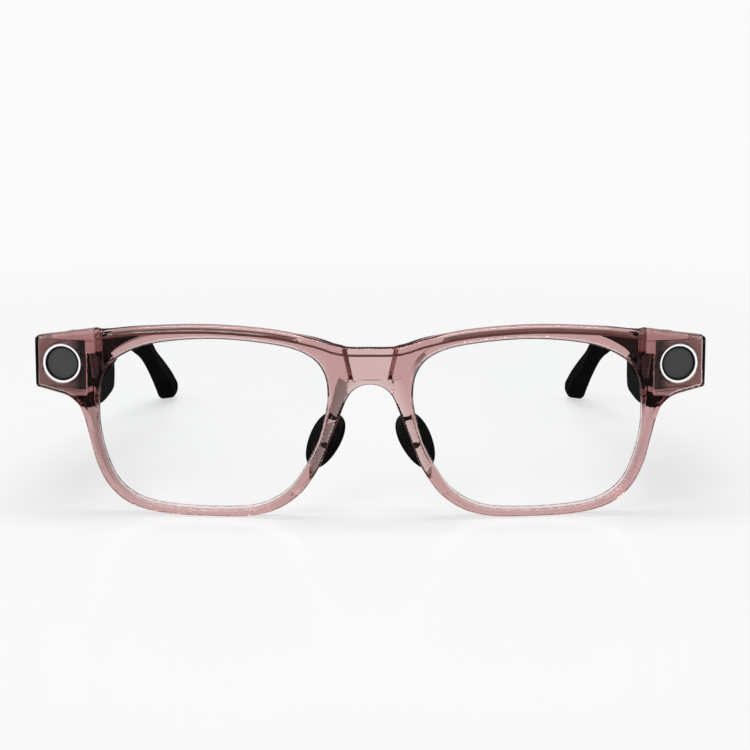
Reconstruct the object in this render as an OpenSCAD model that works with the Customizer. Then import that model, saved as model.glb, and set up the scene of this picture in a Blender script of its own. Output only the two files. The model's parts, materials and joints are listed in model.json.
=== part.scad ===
// Camera glasses: a translucent front with two camera windows, clear lenses and nose pads,
// and two folding temples that hold the electronics and end in rubber tips.
// Millimetres. +X is the wearer's left, +Y points back to the ears, +Z is up, and z = 0 is the table.

/* [Front] */
// Width across the two corner blocks
frame_width = 148.4; // [146:0.2:152]
// Height of the front, from the table to the top of the brow
frame_height = 43.1; // [42:0.1:45]
// Thickness of the rims from front to back
rim_depth = 4.6; // [4.4:0.1:5.0]
// Radius of the front's face-form curve, seen from above
wrap_radius = 350; // [330:5:400]
// How far back the corner blocks reach
block_back = 17.6; // [17.4:0.1:17.8]
// Wall of the corner blocks and of the temple shells
wall = 1.2; // [1.0:0.1:1.3]

/* [Lenses] */
// Thickness of a lens
lens_thickness = 1.9; // [1.6:0.1:2.1]
// How deep a lens sits in its rim
lens_bite = 0.6; // [0.4:0.1:0.7]

/* [Camera windows] */
// Outside radius of the light ring
ring_radius = 4.36; // [4.0:0.02:4.4]
// Width of the light ring
ring_width = 0.46; // [0.4:0.02:0.7]
// How deep the window sits behind the ring
window_recess = 0.5; // [0.3:0.1:0.7]

/* [Hinges] */
// Radius of the hinge barrel
barrel_radius = 1.9; // [1.7:0.1:1.9]
// Radius of the hinge pin
pin_radius = 0.75; // [0.6:0.05:0.8]

/* [Buttons] */
// Travel of the two top buttons
button_travel = 0.5; // [0.3:0.1:0.6]
// Travel of the power slider, from end to end
slider_travel = 2.0; // [1.6:0.1:2.4]

/* [Hidden] */
fit = 0.05;        // gap between pieces that sit in one another
eps = 0.01;        // overlap that makes a cut clean
half_width = frame_width / 2;
sx = frame_width / 148.4;
sz = frame_height / 43.1;

// One half of the front's outline, as [x, z], from the middle of the brow round to the nose arch.
half_outline = [
    [0, 38.3], [6.5, 38.5], [12, 40.2], [22, 42.2], [36, 43.1], [50, 42.5], [58, 41.6], [66, 40.1],
    [71, 39.2], [73.5, 38.3], [74.2, 36.6], [74.2, 31], [73.8, 29.1], [72.3, 28.2], [69, 27.3],
    [66.3, 26.3], [64.7, 24.4], [63.6, 21], [62.5, 16.8], [61.2, 11.8], [58.8, 6.8], [55, 3.1],
    [50, 1.1], [43.5, 0.2], [37, 0], [29, 0], [24, 0.7], [20, 2.1], [16, 4.9], [13, 8.8],
    [11, 12.2], [9.2, 16.8], [6.4, 24], [4.8, 27.8], [2.6, 29.8], [0, 30.3]
];
// The lens opening on the wearer's left, as [x, z], clockwise from the nose side.
opening_points = [
    [9.4, 28.5], [10.2, 32.8], [13.2, 36.4], [20, 38.8], [34, 40.1], [47, 39], [54.5, 36.3],
    [58.8, 32.4], [60.2, 26.5], [60.2, 19.5], [58.7, 12.8], [56, 7.2], [51, 3.6], [44, 2.2],
    [34, 1.8], [25, 2.5], [18.6, 5.8], [14.6, 11], [11.4, 17.5], [9.8, 24]
];

// The temple's four edges against y: top and underside in z, outer and inner face as the
// distance in from the front's own side.
temple_front = 18;
shell_end = 104;
temple_top_edge = [
    [18, 40.0], [50, 34.85], [90, 28.4], [104, 26.1], [110, 24.8], [116, 22.7], [122, 19.6],
    [128, 15.9], [134, 12.0], [139, 8.6], [142.4, 5.6], [143.6, 4.0]
];
temple_low_edge = [
    [18, 26.5], [22, 23.4], [30, 20.2], [40, 18.3], [46, 17.7], [52, 18.6], [60, 21.0], [68, 22.7],
    [78, 23.2], [90, 22.6], [104, 20.4], [110, 18.0], [116, 14.8], [122, 11.0], [128, 7.0],
    [134, 3.0], [138, 0.8], [141, 0.6], [142.4, 1.2], [143.6, 2.6]
];
temple_outer_edge = [
    [18, -0.8], [34, -0.7], [50, -0.1], [66, 1.5], [82, 4.2], [96, 7.0], [106, 9.6], [116, 11.5],
    [126, 12.6], [134, 13.5], [141, 14.6], [143.6, 15.8]
];
temple_inner_edge = [
    [18, 7.2], [20, 9.9], [24, 12.6], [30, 13.9], [40, 13.6], [50, 12.5], [60, 11.2], [70, 10.7],
    [80, 11.2], [90, 12.0], [104, 13.9], [116, 15.3], [126, 16.5], [134, 18.3], [141, 19.3],
    [143.6, 20.0]
];
// How far the tip's section leans, foot towards the head, against y.
tip_lean = [
    [104, 0], [107, 3], [112, 14], [118, 15.5], [126, 18], [134, 15.5], [140, 5.6], [143.6, 1.3]
];
// Long bevels as [x from the front's side, z] at y = 18; they run back and down with the slopes.
top_bevel = [[0.8, 37.8], [-6.2, 40.0]];
top_inner_bevel = [[-6.7, 39.6], [-13.2, 34.8]];
low_outer_bevel = [[-7.6, 22.9], [0.8, 28.4]];
low_inner_bevel = [[-13.7, 27.9], [-11.1, 22.3]];
top_slope = -9.15;
top_inner_slope = -5.5;
low_slope = -10.9;
flex_below = 1.8;  // the brow flex runs this far below the front's top line
flex_half = 0.2;
flex_depth = [1.8, 3.0];
lap_front = 12.2;  // the outer shell laps over the side of the front from here
tip_end = 143.6;
bay_start = 19.4;  // the electronics bay in the shells
bay_end = 67;

// Hinge axis, vertical, at the inner back corner of the block.
hinge_x = half_width - 9.6;
hinge_y = 18.2;
knuckle_z = [29.4, 32.4, 32.55, 35.25, 35.4, 38.0];

// Camera window centre on the front surface, and its outward turn.
camera_x = half_width - 5.8;
camera_z = 33.9 * sz;
camera_turn = asin(camera_x / wrap_radius);
camera_y = wrap_radius - sqrt(pow(wrap_radius, 2) - pow(camera_x, 2));

// Top buttons and slider, on the temples.
button_y = [25, 33];
button_x = [3.6, 6.6];     // distance in from the outer face
flange_z = [34.1, 34.9];   // the buttons' flange, under the shells' top
slider_at = [31.5, 30.0];  // y, z
contact_at = [49, 28.5];   // y, z

microphone_y = [37, 42.8];
core_y = [84, 131];        // the steel core in the temple's end and tip
core_half = [0.55, 0.9];
function microphone_z(y) = 32.6 - (y - 36) * 0.14;

shift_y = -tip_end / 2;    // brings the origin to the middle of the footprint

mauve = [0.72, 0.50, 0.50, 0.55];
clear = [0.92, 0.95, 0.96, 0.25];
black = [0.06, 0.06, 0.065];
steel = [0.72, 0.73, 0.75];

// ---------- curves ----------

function catmull(a, b, c, d, t) =
    0.5 * (2 * b + (c - a) * t + (2 * a - 5 * b + 4 * c - d) * t * t + (3 * b - a - 3 * c + d) * t * t * t);

// A closed curve through all the points, n steps between each pair.
function closed_curve(p, n) = let (m = len(p))
    [for (i = [0:m - 1]) for (k = [0:n - 1])
        catmull(p[(i + m - 1) % m], p[i], p[(i + 1) % m], p[(i + 2) % m], k / n)];

// Moves a clockwise path inwards by d, along its own normals.
function inset(path, d) = let (m = len(path))
    [for (i = [0:m - 1])
        let (step = path[(i + 1) % m] - path[(i + m - 1) % m])
        path[i] + d * [step[1], -step[0]] / norm(step)];

function scaled(p) = [p[0] * sx, p[1] * sz];

// The whole outline: one half, then its mirror image backwards. It never goes below the table.
outline = let (
    right = [for (p = half_outline) scaled(p)],
    left = [for (i = [len(right) - 2:-1:1]) [-right[i][0], right[i][1]]],
    path = closed_curve(concat(right, left), 3)
) [for (p = path) [p[0], max(0, p[1])]];

opening = closed_curve([for (p = opening_points) scaled(p)], 4);

// Value at y of a smooth curve through [y, value] points.
function span(p, y, i = 0) = (i >= len(p) - 2 || y < p[i + 1][0]) ? i : span(p, y, i + 1);
function slope(p, i) = let (a = p[max(i - 1, 0)], b = p[min(i + 1, len(p) - 1)])
    (b[1] - a[1]) / (b[0] - a[0]);
function along(p, y) = let (
    i = span(p, y), a = p[i], b = p[i + 1], h = b[0] - a[0], t = (y - a[0]) / h,
    t2 = t * t, t3 = t2 * t
) (2 * t3 - 3 * t2 + 1) * a[1] + (t3 - 2 * t2 + t) * h * slope(p, i)
    + (3 * t2 - 2 * t3) * b[1] + (t3 - t2) * h * slope(p, i + 1);

function top_z(y) = along(temple_top_edge, y);
function low_z(y) = max(0, along(temple_low_edge, y));
function outer_x(y) = half_width - along(temple_outer_edge, y);
function inner_x(y) = half_width - along(temple_inner_edge, y);
function parting_x(y) = outer_x(y) - 0.42 * (outer_x(y) - inner_x(y));
function middle_x(y) = (outer_x(y) + inner_x(y)) / 2;
function middle_z(y) = (top_z(y) + low_z(y)) / 2;

// Stations from y0 to y1, about every 3 mm.
function stations(y0, y1) = let (n = max(1, ceil((y1 - y0) / 3))) [for (i = [0:n]) y0 + (y1 - y0) * i / n];

// ---------- building blocks ----------

module along_y(y0, y1) {
    translate([0, y1, 0]) rotate([90, 0, 0]) linear_extrude(y1 - y0) children();
}

module along_x(x0, x1) {
    translate([x0, 0, 0]) rotate([90, 0, 90]) linear_extrude(x1 - x0) children();
}

// What lies between two depths behind the curved front surface.
module wrap_layer(near, far) {
    translate([0, wrap_radius, -5]) difference() {
        cylinder(r = wrap_radius - near, h = frame_height + 10, $fn = 180);
        translate([0, 0, -1]) cylinder(r = wrap_radius - far, h = frame_height + 12, $fn = 180);
    }
}

// Everything behind a depth, as far back as the corner blocks.
module behind(near) {
    translate([0, wrap_radius, -5]) cylinder(r = wrap_radius - near, h = frame_height + 10, $fn = 180);
}

// An x, y, z box given by its two corners.
module block(a, b) {
    translate(a) cube([b[0] - a[0], b[1] - a[1], b[2] - a[2]]);
}

// Turns and moves a child from the camera's own frame: +Z there points inwards, from the window.
module at_camera() {
    translate([camera_x, camera_y, camera_z]) rotate([0, 0, camera_turn]) rotate([-90, 0, 0]) children();
}

// Tube between two depths, in the camera's frame.
module camera_tube(r_out, r_in, d0, d1) {
    translate([0, 0, d0]) difference() {
        cylinder(r = r_out, h = d1 - d0, $fn = 64);
        if (r_in > 0) translate([0, 0, -1]) cylinder(r = r_in, h = d1 - d0 + 2, $fn = 64);
    }
}

// What lies right of the line a-b in x and z, cut d deeper, and running back at a slope.
module bevel(line, d, pitch) {
    a = line[0] + [half_width, 0];
    b = line[1] + [half_width, 0];
    dir = (b - a) / norm(b - a);
    n = [-dir[1], dir[0]];
    translate([0, temple_front, a[1]]) rotate([pitch, 0, 0]) translate([0, 0, -a[1]]) along_y(-12, 70)
        polygon([a - 6 * dir + d * n, a - 6 * dir - 15 * n, b + 6 * dir - 15 * n, b + 6 * dir + d * n]);
}

// The temple's shape between two stations, pulled in by d, and between two of its x curves.
module temple_body(y0, y1, d, x_low, x_high) {
    ys = stations(y0, y1);
    back = [for (i = [len(ys) - 1:-1:0]) ys[i]];
    difference() {
        intersection() {
            along_x(half_width - 30, half_width + 5)
                polygon(concat([for (y = ys) [y, low_z(y) + d]], [for (y = back) [y, top_z(y) - d]]));
            linear_extrude(frame_height + 5)
                polygon(concat([for (y = ys) [x_low(y), y]], [for (y = back) [x_high(y), y]]));
        }
        bevel(top_bevel, d, top_slope);
        bevel(top_inner_bevel, d, top_inner_slope);
        bevel(low_outer_bevel, d, low_slope);
        bevel(low_inner_bevel, d, low_slope);
    }
}

// ---------- front ----------

module block_profile(d) {
    intersection() {
        polygon(inset(outline, d));
        translate([half_width - 12 + d, 25.4 * sz + d]) square([15, 20]);
    }
}

module corner_block() {
    intersection() {
        along_y(2, block_back) block_profile(0);
        behind(0);
    }
}

module corner_pocket() {
    intersection() {
        along_y(2, block_back + 1) block_profile(wall);
        behind(1.3);
        block([half_width - 11, 0, 20], [half_width, 30, 45]);
    }
}

module hinge_clearance(r) {
    translate([hinge_x, hinge_y, knuckle_z[0] - 0.2])
        cylinder(r = r, h = knuckle_z[5] - knuckle_z[0] + 0.9, $fn = 48);
}

// Where a nose pad's stem plugs in: a point on the nose rim, and the way the stem points.
stem_at = [10.3 * sx, 1.6, 16.2 * sz];
stem_turn = [-90, 0, 0];
stem_r = 0.8;

module stem(r, d0, d1) {
    translate(stem_at) rotate(stem_turn) translate([0, 0, d0]) cylinder(r = r, h = d1 - d0, $fn = 32);
}

module brow_ribbon(d) {
    line = [for (p = inset(outline, flex_below)) if (abs(p[0]) < half_width - 11 && p[1] > 33 * sz) p];
    right = [for (p = line) if (p[0] >= 0) p];
    left = [for (p = line) if (p[0] < 0) p];
    path = concat(left, right);
    m = len(path);
    intersection() {
        along_y(-1, 14) polygon(concat(
            [for (p = path) p + [0, flex_half + d]],
            [for (i = [m - 1:-1:0]) path[i] - [0, flex_half + d]]
        ));
        wrap_layer(flex_depth[0] - d, flex_depth[1] + d);
    }
}

module front_half_cuts() {
    along_y(-2, 25) polygon(opening);
    intersection() {
        along_y(-2, 25) polygon(inset(opening, -lens_bite - fit));
        wrap_layer(1.3 - fit, 1.3 + lens_thickness + fit);
    }
    corner_pocket();
    at_camera() translate([0, 0, -2]) cylinder(r = ring_radius + fit, h = 6, $fn = 64);
    hinge_clearance(barrel_radius + 0.25);
    stem(stem_r + fit, 2.3, 6);
}

module front_frame() {
    color(mauve) difference() {
        union() {
            intersection() {
                along_y(-1, 25) polygon(outline);
                wrap_layer(0, rim_depth);
            }
            corner_block();
            mirror([1, 0, 0]) corner_block();
        }
        front_half_cuts();
        mirror([1, 0, 0]) front_half_cuts();
        brow_ribbon(fit);
    }
}

module brow_flex() {
    color([0.22, 0.10, 0.10]) brow_ribbon(0);
}

module lens() {
    color(clear) intersection() {
        along_y(-2, 25) polygon(inset(opening, -lens_bite));
        wrap_layer(1.3, 1.3 + lens_thickness);
    }
}

// A nose pad is a soft oval, thin from front to back, that leans with the nose rim.
module nose_pad() {
    color(black) difference() {
        translate([10.2 * sx, 9.9, 15.8 * sz]) rotate([0, -27, 0]) rotate([0, 0, 25]) hull() {
            translate([0, 0, 5.0]) scale([2.0, 1, 1.5]) sphere(r = 1.15, $fn = 24);
            scale([2.9, 1, 2.8]) sphere(r = 1.3, $fn = 28);
            translate([0, 0, -5.0]) scale([1.9, 1, 1.5]) sphere(r = 1.15, $fn = 24);
        }
        stem(stem_r + fit, 1, 8.1);
    }
}

module nose_pad_core() {
    color([0.1, 0.1, 0.1]) stem(stem_r, 2.35, 8.0);
}

module light_ring() {
    color([0.95, 0.95, 0.95]) at_camera() camera_tube(ring_radius, ring_radius - ring_width, -0.05, 1.2);
}

module window_bezel() {
    r = ring_radius - ring_width - 0.02;
    color(black) at_camera() difference() {
        camera_tube(r, 0, 0.05, 2.3);
        translate([0, 0, -1]) cylinder(r = r - 0.38, h = 2.2, $fn = 64);
        translate([0, 0, 1]) cylinder(r = r - 0.9, h = 3, $fn = 64);
    }
}

module camera_window() {
    r = ring_radius - ring_width - 0.42;
    color([0.29, 0.29, 0.29]) at_camera() camera_tube(r, 0, window_recess, 1.18);
}

module camera_barrel() {
    color(black) at_camera() {
        camera_tube(2.5, 1.1, 2.4, 3.2);
        camera_tube(2.5, 0, 3.2, 5.4);
    }
}

// The shape that fits inside a corner's pocket.
module camera_bay() {
    translate([half_width, 0]) polygon([
        [-10.6, 27.2], [-8.2, 28.0], [-5.2, 29.2], [-1.7, 30.2], [-1.7, 36.6], [-4, 37.8], [-10.6, 38.9]
    ]);
}

module camera_housing() {
    color([0.55, 0.55, 0.56]) difference() {
        along_y(10, 13.6) camera_bay();
        at_camera() cylinder(r = 2.56, h = 5.45, $fn = 64);
        at_corner_screws() cylinder(r = 0.55, h = 5, $fn = 24);
    }
}

// The axes of the two screws on a corner; +Z there points back, from 11.4 mm behind the brow.
module at_corner_screws() {
    for (z = [31.2, 36.4]) translate([half_width - 3.4, 11.4, z * sz]) rotate([-90, 0, 0]) children();
}

module camera_board() {
    color([0.05, 0.22, 0.12]) difference() {
        along_y(13.65, 14.35) camera_bay();
        at_corner_screws() cylinder(r = 0.65, h = 5, $fn = 24);
    }
}

module corner_cover() {
    color(black) difference() {
        intersection() {
            along_y(16.1, block_back) block_profile(wall + fit);
            block([half_width - 10.9, 10, 20], [half_width, 20, 45]);
        }
        hinge_clearance(barrel_radius + 0.3);
        block([hinge_x - 3, 15, knuckle_z[0] - 0.2], [hinge_x + 3.2, 20, knuckle_z[5] + 0.2]);
        at_corner_screws() {
            cylinder(r = 0.55, h = 8, $fn = 24);
            translate([0, 0, 5.4]) cylinder(r = 0.95, h = 2, $fn = 24);
        }
    }
}

// Two screws a side, through the cover, the hinge leaf and the board into the camera housing.
module corner_screws() {
    color(steel) at_corner_screws() difference() {
        union() {
            translate([0, 0, 0.3]) cylinder(r = 0.5, h = 5.2, $fn = 24);
            translate([0, 0, 5.45]) cylinder(r = 0.88, h = 0.7, $fn = 24);
        }
        translate([0, 0, 5.8]) cylinder(r = 0.4, h = 1, $fn = 6);
    }
}

module knuckle(z0, z1) {
    translate([hinge_x, hinge_y, z0]) cylinder(r = barrel_radius, h = z1 - z0, $fn = 48);
}

module pin_bore(r) {
    translate([hinge_x, hinge_y, 20]) cylinder(r = r, h = 30, $fn = 32);
}

module hinge_front_leaf() {
    color(steel) difference() {
        union() {
            block([hinge_x - 0.6, 14.5, 30.2], [half_width - 1.9, 15.6, 37.4]);
            for (i = [0, 4]) {
                knuckle(knuckle_z[i], knuckle_z[i + 1]);
                block([hinge_x - 0.6, 15.2, knuckle_z[i]], [hinge_x + 1.9, hinge_y, knuckle_z[i + 1]]);
            }
        }
        pin_bore(pin_radius + fit);
        at_corner_screws() cylinder(r = 0.55, h = 5, $fn = 24);
    }
}

// The pin is a screw: a slotted head on top, and its plain shank in all three knuckles.
module hinge_pin() {
    color(steel) translate([hinge_x, hinge_y, 0]) difference() {
        union() {
            translate([0, 0, knuckle_z[0] - 0.1])
                cylinder(r = pin_radius, h = knuckle_z[5] - knuckle_z[0] + 0.2, $fn = 32);
            translate([0, 0, knuckle_z[5] + 0.02]) cylinder(r = 1.45, h = 0.6, $fn = 32);
        }
        translate([-2, -0.18, knuckle_z[5] + 0.32]) cube([4, 0.36, 1]);
    }
}

// ---------- temples ----------

module bay(d) {
    temple_body(bay_start, bay_end, wall + d, function(y) inner_x(y) + wall + d,
        function(y) outer_x(y) - wall - d);
}

// Space that the hinge arm, the screws and the core need in the two shells.
module shell_cuts() {
    bay(0);
    hinge_clearance(barrel_radius + 0.12);
    block([hinge_x - 2, 17, knuckle_z[2] - 0.25], [hinge_x + 4.5, 23, knuckle_z[3] + 0.25]);
    core_rod(fit);
}

module temple_outer_shell() {
    color(black) difference() {
        union() {
            temple_body(temple_front, shell_end, 0, function(y) parting_x(y) + 0.03, function(y) outer_x(y));
            lap();
        }
        shell_cuts();
        button_hole();
    }
}

// The thin lip of the outer shell beside the front.
module lap() {
    side = half_width + 0.12;
    face = half_width + 0.8;
    translate([0, 0, 29.4]) linear_extrude(8.3) polygon([
        [side, lap_front], [side + 0.3, lap_front], [face, lap_front + 1], [face, temple_front + 0.5],
        [side, temple_front + 0.5]
    ]);
}

module temple_inner_shell(slider, contacts) {
    color(black) difference() {
        temple_body(temple_front, shell_end, 0, function(y) inner_x(y), function(y) parting_x(y) - 0.03);
        shell_cuts();
        button_hole();
        // sound slots in the underside, just in front of the ear
        for (i = [0:4]) block([middle_x(60) - 1.5, 55.5 + 1.8 * i, 15], [middle_x(60) + 1.2, 56.3 + 1.8 * i, 24]);
        for (y = microphone_y) translate([inner_x(y) - 2, y + 1.3, microphone_z(y) + 0.9])
            rotate([0, 90, 0]) cylinder(r = 0.45, h = 5, $fn = 24);
        if (slider) slider_hole();
        if (contacts) contact_hole();
    }
}

// The button's well in the temple's top, through both shells.
module button_hole() {
    block([half_width - button_x[1] - 0.15, button_y[0] - 0.15, 34],
        [half_width - button_x[0] + 0.15, button_y[1] + 0.15, 45]);
}

module slider_hole() {
    block([half_width - 14, slider_at[0] - 3.2, slider_at[1] - 1.2],
        [half_width - 9, slider_at[0] + 3.2, slider_at[1] + 1.2]);
}

module contact_hole() {
    block([half_width - 14, contact_at[0] - 4.6, contact_at[1] - 1.9],
        [half_width - 9, contact_at[0] + 4.6, contact_at[1] + 1.9]);
}

module button_cap() {
    a = [half_width - button_x[1], button_y[0]];
    b = [half_width - button_x[0], button_y[1]];
    color(black) union() {
        intersection() {
            block([a[0], a[1], flange_z[1] - 0.1], [b[0], b[1], 45]);
            temple_body(20, 40, -0.25, function(y) inner_x(y), function(y) outer_x(y));
        }
        block([a[0] - 0.5, a[1] - 0.5, flange_z[0]], [b[0] + 0.5, b[1] + 0.5, flange_z[1]]);
    }
}

module power_slider() {
    color(black) {
        x = inner_x(slider_at[0]);
        y = slider_at[0];
        z = slider_at[1];
        block([x - 0.45, y - slider_travel, z - 1.05], [x + 1.8, y + 0.1, z + 1.05]);
        block([x + 1.75, y - 2 * slider_travel, z - 1.7], [x + 2.35, y + slider_travel, z + 1.7]);
    }
}

// A black tray behind the outer shell, open towards the head.
module temple_chassis() {
    color(black) difference() {
        temple_body(bay_start + 0.5, bay_end - 0.5, wall + 0.1, function(y) parting_x(y) - 1.2,
            function(y) outer_x(y) - wall - 0.35);
        temple_body(bay_start + 1.5, bay_end - 1.5, wall + 1.0, function(y) parting_x(y) - 3,
            function(y) outer_x(y) - wall - 1.25);
        block([half_width - button_x[1] - 0.8, button_y[0] - 0.8, flange_z[0] - button_travel - 0.6],
            [half_width - button_x[0] + 0.8, button_y[1] + 0.8, 45]);
        hinge_clearance(barrel_radius + 0.3);
        block([hinge_x - 2, 17, 28.5], [hinge_x + 2.6, 31, 37.5]);
        speaker_block(0.15);
    }
}

// The leaf runs back inside the temple, beside the boards.
module hinge_temple_leaf() {
    color(steel) difference() {
        union() {
            knuckle(knuckle_z[2], knuckle_z[3]);
            block([hinge_x, hinge_y - 0.6, knuckle_z[2]], [hinge_x + 2.4, 21.4, knuckle_z[3]]);
            block([hinge_x + 1.4, 20.9, 29.4], [hinge_x + 2.4, 30.5, 34.9]);
        }
        pin_bore(pin_radius + fit);
        for (p = leaf_screw_places) translate([hinge_x, p[0], p[1]]) rotate([0, 90, 0])
            cylinder(r = 0.5, h = 5, $fn = 24);
    }
}

leaf_screw_places = [[24.2, 31.4], [28.2, 31.0]];

module temple_screws() {
    color(steel) for (p = leaf_screw_places) translate([hinge_x + 0.7, p[0], p[1]]) rotate([0, 90, 0]) {
        translate([0, 0, 0.65]) cylinder(r = 0.45, h = 1.6, $fn = 24);
        difference() {
            cylinder(r = 0.85, h = 0.65, $fn = 24);
            translate([0, 0, -0.3]) cylinder(r = 0.38, h = 0.6, $fn = 6);
        }
    }
}

module battery() {
    x = outer_x(50);
    color([0.12, 0.12, 0.13]) intersection() {
        block([x - 6.3, 37.5, 20], [x - 2.9, 53.5, 40]);
        temple_body(30, 66, wall + 1.3, function(y) inner_x(y), function(y) outer_x(y));
    }
}

// A board stands beside the battery, on the head side, with its chips facing the head.
module board(tint) {
    x = outer_x(50) - 7.3;
    color(tint) union() {
        intersection() {
            block([x, 33.5, 24.5], [x + 0.8, 54.3, 40]);
            temple_body(30, 66, wall + 1.3, function(y) inner_x(y) - 3, function(y) outer_x(y));
        }
        block([x - 0.9, 46.5, 26], [x + eps, 52, 31]);
        block([x - 0.7, 38, 25.6], [x + eps, 42, 29.2]);
    }
}

module speaker_block(d) {
    x = middle_x(60);
    block([x - 1.1 - d, 54.6 - d, 23.8 - d], [x + 2.5 + d, 64.2 + d, 30.2 + d]);
}

module speaker() {
    x = middle_x(60);
    color([0.10, 0.10, 0.10]) difference() {
        speaker_block(0);
        block([x - 0.5, 55.4, 23], [x + 1.9, 63.4, 24.4]);
    }
}

module microphones() {
    x = outer_x(50) - 7.3;
    color([0.8, 0.7, 0.4]) for (y = microphone_y)
        block([x - 0.8, y, microphone_z(y)], [x - 0.02, y + 2.6, microphone_z(y) + 1.8]);
}

// A thin sensing film under the outer shell.
module touch_sensor() {
    color([0.16, 0.12, 0.08]) intersection() {
        temple_body(36, 62, wall + 2.2, function(y) outer_x(y) - wall - 0.28,
            function(y) outer_x(y) - wall - 0.05);
        block([half_width - 10, 36, 15], [half_width, 62, 45]);
    }
}

module charge_contact_block() {
    x = inner_x(contact_at[0]);
    color(black) difference() {
        block([x - 0.15, contact_at[0] - 4.5, contact_at[1] - 1.8],
            [x + 1.1, contact_at[0] + 4.5, contact_at[1] + 1.8]);
        for (i = [-1.5:1:1.5]) translate([x - 1, contact_at[0] + 2.1 * i, contact_at[1]])
            rotate([0, 90, 0]) cylinder(r = 0.7, h = 3, $fn = 32);
    }
}

module charge_pins() {
    x = inner_x(contact_at[0]);
    color([0.85, 0.68, 0.3]) for (i = [-1.5:1:1.5])
        translate([x - 0.1, contact_at[0] + 2.1 * i, contact_at[1]])
            rotate([0, 90, 0]) cylinder(r = 0.66, h = 1.2, $fn = 32);
}

// The ribbon from the hinge to the board.
module temple_flex() {
    x = hinge_x + 2.7;
    color([0.35, 0.16, 0.06]) along_x(x, x + 0.2)
        polygon([[20.9, 30.2], [33.4, 29.6], [33.4, 27.8], [20.9, 28.4]]);
}

module core_rod(d) {
    ys = stations(core_y[0], core_y[1]);
    back = [for (i = [len(ys) - 1:-1:0]) ys[i]];
    intersection() {
        along_x(half_width - 30, half_width)
            polygon(concat(
                [for (y = ys) [y, middle_z(y) - core_half[1] - d]],
                [for (y = back) [y, middle_z(y) + core_half[1] + d]]
            ));
        linear_extrude(frame_height)
            polygon(concat(
                [for (y = ys) [middle_x(y) - core_half[0] - d, y]],
                [for (y = back) [middle_x(y) + core_half[0] + d, y]]
            ));
    }
}

module tip_core() {
    color(steel) core_rod(0);
}

// A rounded section at y, leaned so that its foot comes in towards the head.
function tip_ring(y, n) = let (
    lean = along(tip_lean, y),
    a = (outer_x(y) - inner_x(y)) / 2,
    b = (top_z(y) - low_z(y)) / 2
) [for (i = [0:n - 1]) let (
    c = cos(360 * i / n), s = sin(360 * i / n),
    p = a * sign(c) * pow(abs(c), 0.7), q = b * sign(s) * pow(abs(s), 0.7)
) [middle_x(y) + p * cos(lean) + q * sin(lean), y, max(0, middle_z(y) - p * sin(lean) + q * cos(lean))]];

module temple_tip() {
    n = 20;
    ys = stations(shell_end + 0.05, tip_end);
    m = len(ys);
    color(black) difference() {
        polyhedron(
            points = [for (y = ys) each tip_ring(y, n)],
            faces = concat(
                [[for (i = [0:n - 1]) i]],
                [for (k = [0:m - 2]) for (i = [0:n - 1]) each [
                    [k * n + i, (k + 1) * n + i, (k + 1) * n + (i + 1) % n],
                    [k * n + i, (k + 1) * n + (i + 1) % n, k * n + (i + 1) % n]
                ]],
                [[for (i = [n - 1:-1:0]) (m - 1) * n + i]]
            )
        );
        core_rod(fit);
    }
}

// ---------- assembly ----------

// Places a module on the wearer's left, and its mirror image on the right.
module left_side() { translate([0, shift_y, 0]) children(); }
module right_side() { translate([0, shift_y, 0]) mirror([1, 0, 0]) children(); }

left_side() front_frame();
left_side() brow_flex();
left_side() lens();  // lens_left
right_side() lens();  // lens_right
left_side() nose_pad();  // nose_pad_left
right_side() nose_pad();  // nose_pad_right
left_side() nose_pad_core();  // nose_pad_core_left
right_side() nose_pad_core();  // nose_pad_core_right
left_side() light_ring();  // light_ring_left
right_side() light_ring();  // light_ring_right
left_side() window_bezel();  // window_bezel_left
right_side() window_bezel();  // window_bezel_right
left_side() camera_window();  // camera_window_left
right_side() camera_window();  // camera_window_right
left_side() camera_barrel();  // camera_barrel_left
right_side() camera_barrel();  // camera_barrel_right
left_side() camera_housing();  // camera_housing_left
right_side() camera_housing();  // camera_housing_right
left_side() camera_board();  // camera_board_left
right_side() camera_board();  // camera_board_right
left_side() corner_cover();  // corner_cover_left
right_side() corner_cover();  // corner_cover_right
left_side() hinge_front_leaf();  // hinge_front_leaf_left
right_side() hinge_front_leaf();  // hinge_front_leaf_right
left_side() hinge_pin();  // hinge_pin_left
right_side() hinge_pin();  // hinge_pin_right
left_side() corner_screws();  // corner_screws_left
right_side() corner_screws();  // corner_screws_right
left_side() temple_outer_shell();  // temple_outer_shell_left
right_side() temple_outer_shell();  // temple_outer_shell_right
left_side() temple_inner_shell(false, false);  // temple_inner_shell_left
right_side() temple_inner_shell(true, true);  // temple_inner_shell_right
left_side() temple_chassis();  // temple_chassis_left
right_side() temple_chassis();  // temple_chassis_right
left_side() hinge_temple_leaf();  // hinge_temple_leaf_left
right_side() hinge_temple_leaf();  // hinge_temple_leaf_right
left_side() temple_screws();  // temple_screws_left
right_side() temple_screws();  // temple_screws_right
left_side() battery();  // battery_left
right_side() battery();  // battery_right
right_side() board([0.05, 0.22, 0.12]);  // main_board
left_side() board([0.05, 0.12, 0.22]);  // audio_board
left_side() speaker();  // speaker_left
right_side() speaker();  // speaker_right
left_side() microphones();  // microphones_left
right_side() microphones();  // microphones_right
right_side() touch_sensor();
right_side() charge_contact_block();
right_side() charge_pins();
left_side() temple_flex();  // temple_flex_left
right_side() temple_flex();  // temple_flex_right
left_side() temple_tip();  // temple_tip_left
right_side() temple_tip();  // temple_tip_right
left_side() tip_core();  // tip_core_left
right_side() tip_core();  // tip_core_right
right_side() button_cap();  // capture_button
left_side() button_cap();  // action_button
right_side() power_slider();
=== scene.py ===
"""Camera glasses: detailed pieces, materials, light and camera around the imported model."""
import json
import math

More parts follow.
